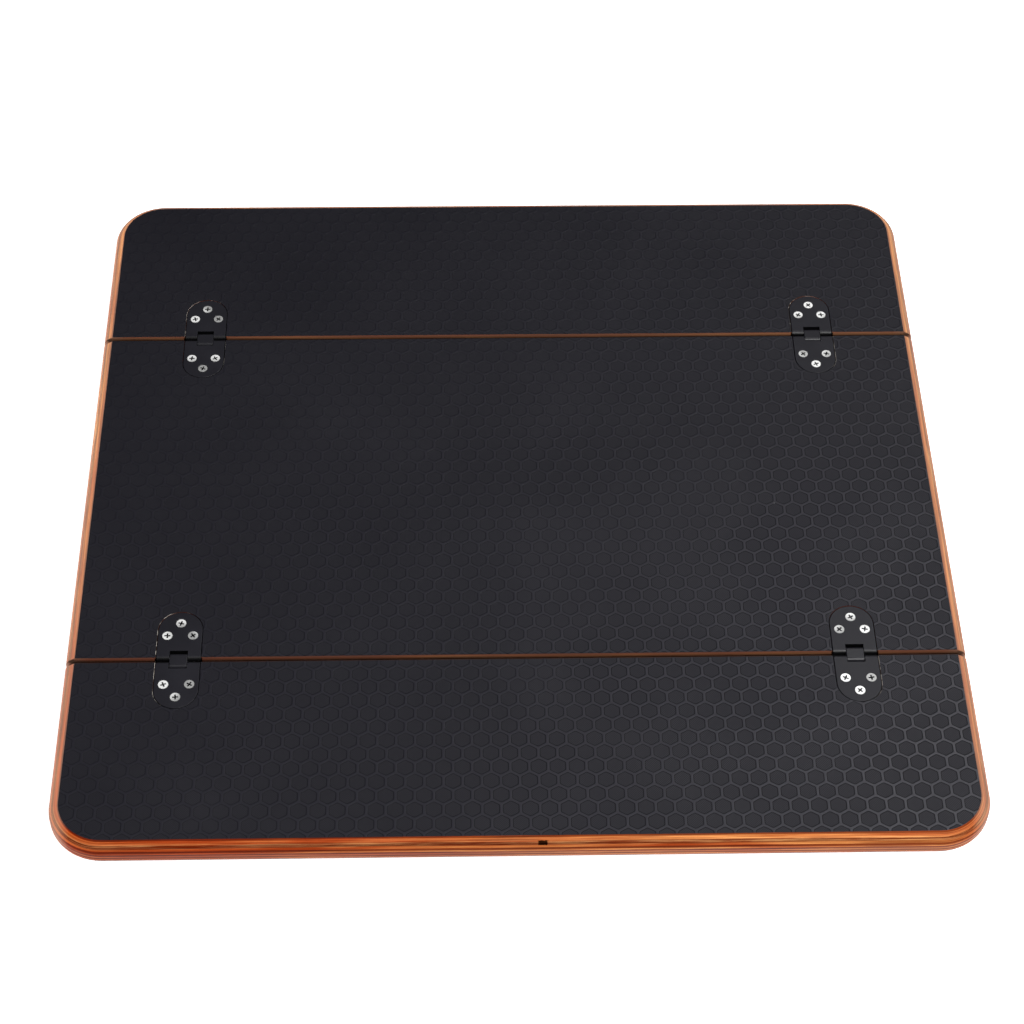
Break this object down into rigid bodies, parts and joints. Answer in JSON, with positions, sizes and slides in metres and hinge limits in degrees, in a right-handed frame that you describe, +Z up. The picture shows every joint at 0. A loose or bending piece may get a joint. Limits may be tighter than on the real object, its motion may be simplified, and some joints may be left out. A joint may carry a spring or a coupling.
{
  "type": "folding exercise board",
  "caption": "Flat tri-fold exercise board of film-faced plywood with stained rounded edges, a hexagon-embossed top and flush double-pivot flap hinges.",
  "frame": {"origin": "centre of the underside of the middle panel, with the board open flat", "axes": "+Z up out of the embossed top face, +X along the creases, -Y towards the user (front panel at -Y)"},
  "size_m": [0.614, 0.598, 0.018],
  "materials": {
    "stained_plywood": "orange-brown stain on birch plywood, satin, ply lines showing on the edges",
    "embossed_film": "black phenolic film embossed with a hexagon lattice, semi-matte",
    "smooth_film": "smooth dark phenolic film, semi-matte",
    "hinge_leaf": "black coating over cast metal, satin",
    "hinge_link": "black coating over cast metal, satin, worn at the round ends",
    "hinge_pin": "ground steel",
    "screw": "bright nickel plate"
  },
  "bodies": {
    "middle_panel": {"middle_panel_plywood": "stained_plywood", "middle_panel_top_film": "embossed_film", "middle_panel_bottom_film": "smooth_film", "front_left_hinge_inner_leaf": "hinge_leaf", "front_left_hinge_inner_pin": "hinge_pin", "front_left_hinge_inner_screws": "screw", "front_right_hinge_inner_leaf": "hinge_leaf", "front_right_hinge_inner_pin": "hinge_pin", "front_right_hinge_inner_screws": "screw", "back_left_hinge_inner_leaf": "hinge_leaf", "back_left_hinge_inner_pin": "hinge_pin", "back_left_hinge_inner_screws": "screw", "back_right_hinge_inner_leaf": "hinge_leaf", "back_right_hinge_inner_pin": "hinge_pin", "back_right_hinge_inner_screws": "screw"},
    "front_links": {"front_left_hinge_link": "hinge_link", "front_right_hinge_link": "hinge_link"},
    "front_panel": {"front_panel_plywood": "stained_plywood", "front_panel_top_film": "embossed_film", "front_panel_bottom_film": "smooth_film", "front_left_hinge_outer_leaf": "hinge_leaf", "front_left_hinge_outer_pin": "hinge_pin", "front_left_hinge_outer_screws": "screw", "front_right_hinge_outer_leaf": "hinge_leaf", "front_right_hinge_outer_pin": "hinge_pin", "front_right_hinge_outer_screws": "screw"},
    "back_links": {"back_left_hinge_link": "hinge_link", "back_right_hinge_link": "hinge_link"},
    "back_panel": {"back_panel_plywood": "stained_plywood", "back_panel_top_film": "embossed_film", "back_panel_bottom_film": "smooth_film", "back_left_hinge_outer_leaf": "hinge_leaf", "back_left_hinge_outer_pin": "hinge_pin", "back_left_hinge_outer_screws": "screw", "back_right_hinge_outer_leaf": "hinge_leaf", "back_right_hinge_outer_pin": "hinge_pin", "back_right_hinge_outer_screws": "screw"}
  },
  "joints": [
    {"name": "front_inner_fold", "type": "hinge", "parent": "middle_panel", "child": "front_links", "pos_m": [0, -0.1465, 0.01525], "axis": [-1, 0, 0], "range_deg": [0, 90]},
    {"name": "front_outer_fold", "type": "hinge", "parent": "front_links", "child": "front_panel", "pos_m": [0, -0.1535, 0.01525], "axis": [-1, 0, 0], "range_deg": [0, 90]},
    {"name": "back_inner_fold", "type": "hinge", "parent": "middle_panel", "child": "back_links", "pos_m": [0, 0.1465, 0.01525], "axis": [1, 0, 0], "range_deg": [0, 90]},
    {"name": "back_outer_fold", "type": "hinge", "parent": "back_links", "child": "back_panel", "pos_m": [0, 0.1535, 0.01525], "axis": [1, 0, 0], "range_deg": [0, 90]}
  ],
  "couplings": [
    {"joint": "front_outer_fold", "follows": "front_inner_fold", "ratio": 1},
    {"joint": "back_outer_fold", "follows": "back_inner_fold", "ratio": 1}
  ]
}
